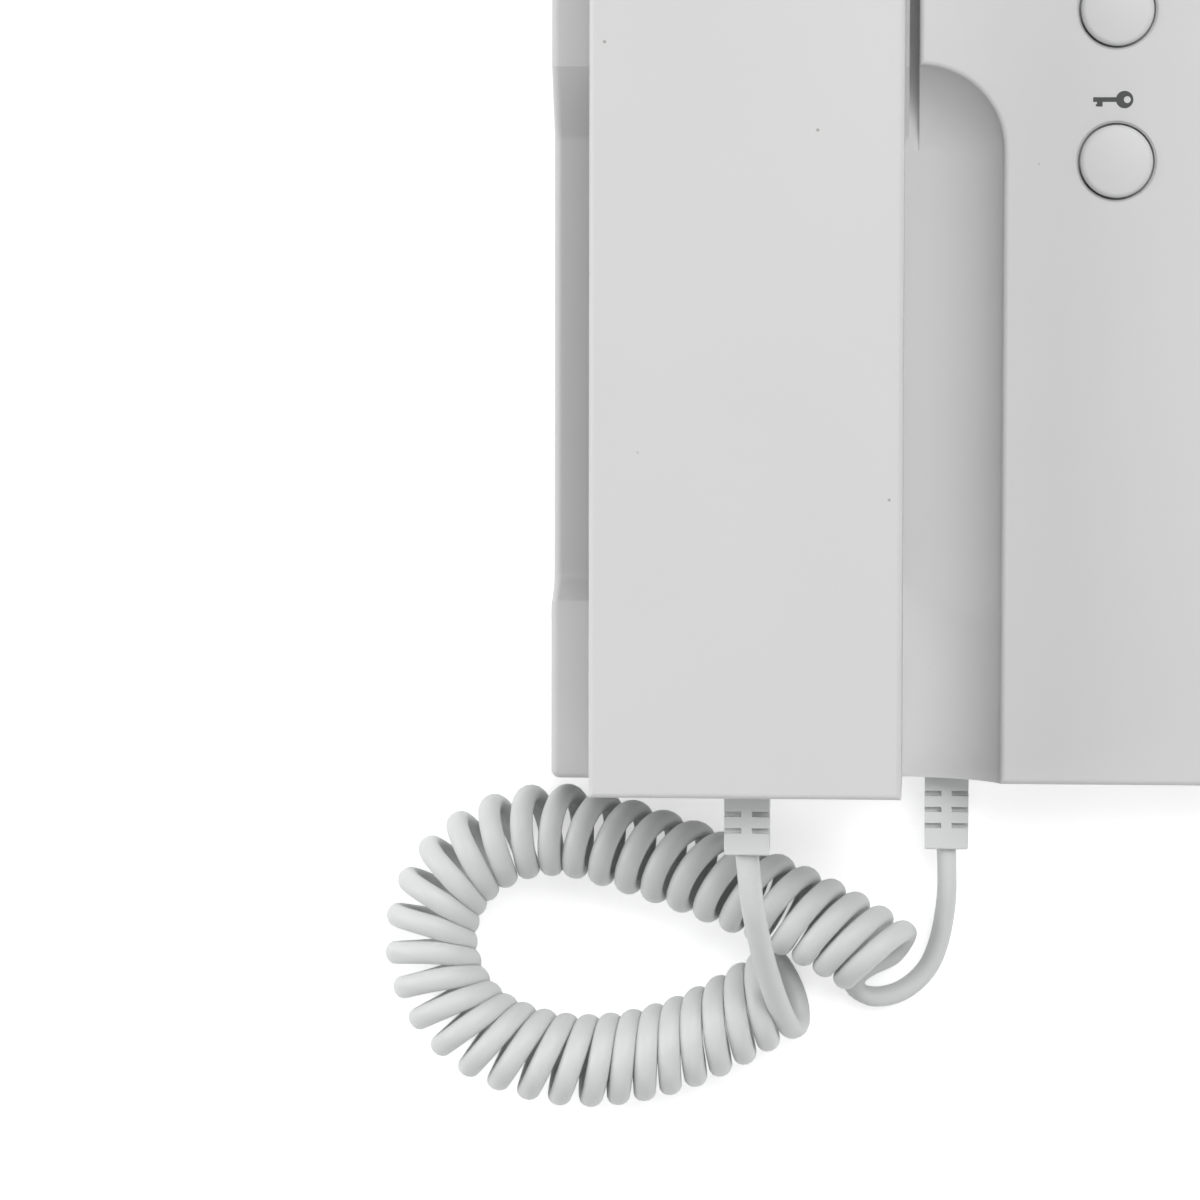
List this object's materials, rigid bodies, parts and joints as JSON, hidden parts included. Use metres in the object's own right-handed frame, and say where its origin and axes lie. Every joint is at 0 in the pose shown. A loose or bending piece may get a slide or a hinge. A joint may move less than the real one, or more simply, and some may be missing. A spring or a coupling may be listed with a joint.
{
  "type": "intercom extension phone",
  "caption": "Wall intercom phone lying on its back: slab handset in a cradle, raised panel with two round push buttons, finger scoop, and a curly cord on modular plugs.",
  "frame": {"origin": "centre of the flat back face, on which the phone lies", "axes": "+X across the wall towards the buttons, +Y up the wall towards the earpiece, +Z out of the wall"},
  "size_m": [0.16, 0.2558, 0.05],
  "materials": {
    "housing_abs": "fine moulded satin",
    "button_abs": "satin",
    "plug_plastic": "satin",
    "cord_pvc": "semi-gloss",
    "steel": "plain",
    "circuit_board": "solder mask",
    "dark_plastic": "matte",
    "rubber": "matte",
    "foam": "open foam"
  },
  "bodies": {
    "base": {"back_plate": "housing_abs", "front_housing": "housing_abs", "main_board": "circuit_board", "board_screws": "steel", "board_components": "dark_plastic", "terminal_block": "dark_plastic", "terminal_screws": "steel", "call_sounder": "dark_plastic", "door_switch": "dark_plastic", "call_switch": "dark_plastic", "hook_lever_pin": "steel", "hook_switch": "dark_plastic", "closing_screw": "steel", "body_jack": "dark_plastic", "body_plug": "plug_plastic", "body_lead": "cord_pvc", "cord_coil": "cord_pvc", "handset_lead": "cord_pvc"},
    "handset": {"handset_front_shell": "housing_abs", "handset_rear_shell": "housing_abs", "handset_screws": "steel", "earpiece_speaker": "dark_plastic", "earpiece_gasket": "foam", "microphone": "steel", "microphone_boot": "rubber", "handset_jack": "dark_plastic", "handset_plug": "plug_plastic"},
    "hook_lever": {"hook_lever": "housing_abs"},
    "door_button": {"door_button": "button_abs", "door_switch_plunger": "button_abs"},
    "call_button": {"call_button": "button_abs", "call_switch_plunger": "button_abs"}
  },
  "joints": [
    {"name": "handset_lift", "type": "slide", "parent": "base", "child": "handset", "axis": [0, 0, 1], "range_m": [0, 0.05]},
    {"name": "hook_lever_turn", "type": "hinge", "parent": "base", "child": "hook_lever", "pos_m": [-0.0306, 0.053, 0.009], "axis": [-1, 0, 0], "range_deg": [0, 12.2]},
    {"name": "door_button_press", "type": "slide", "parent": "base", "child": "door_button", "axis": [0, 0, -1], "range_m": [0, 0.0008], "stiffness_N_per_m": 300, "springref_m": -0.0002},
    {"name": "call_button_press", "type": "slide", "parent": "base", "child": "call_button", "axis": [0, 0, -1], "range_m": [0, 0.0008], "stiffness_N_per_m": 300, "springref_m": -0.0002}
  ],
  "couplings": [
    {"joint": "hook_lever_turn", "follows": "handset_lift", "rad_per_m": 4.19}
  ]
}
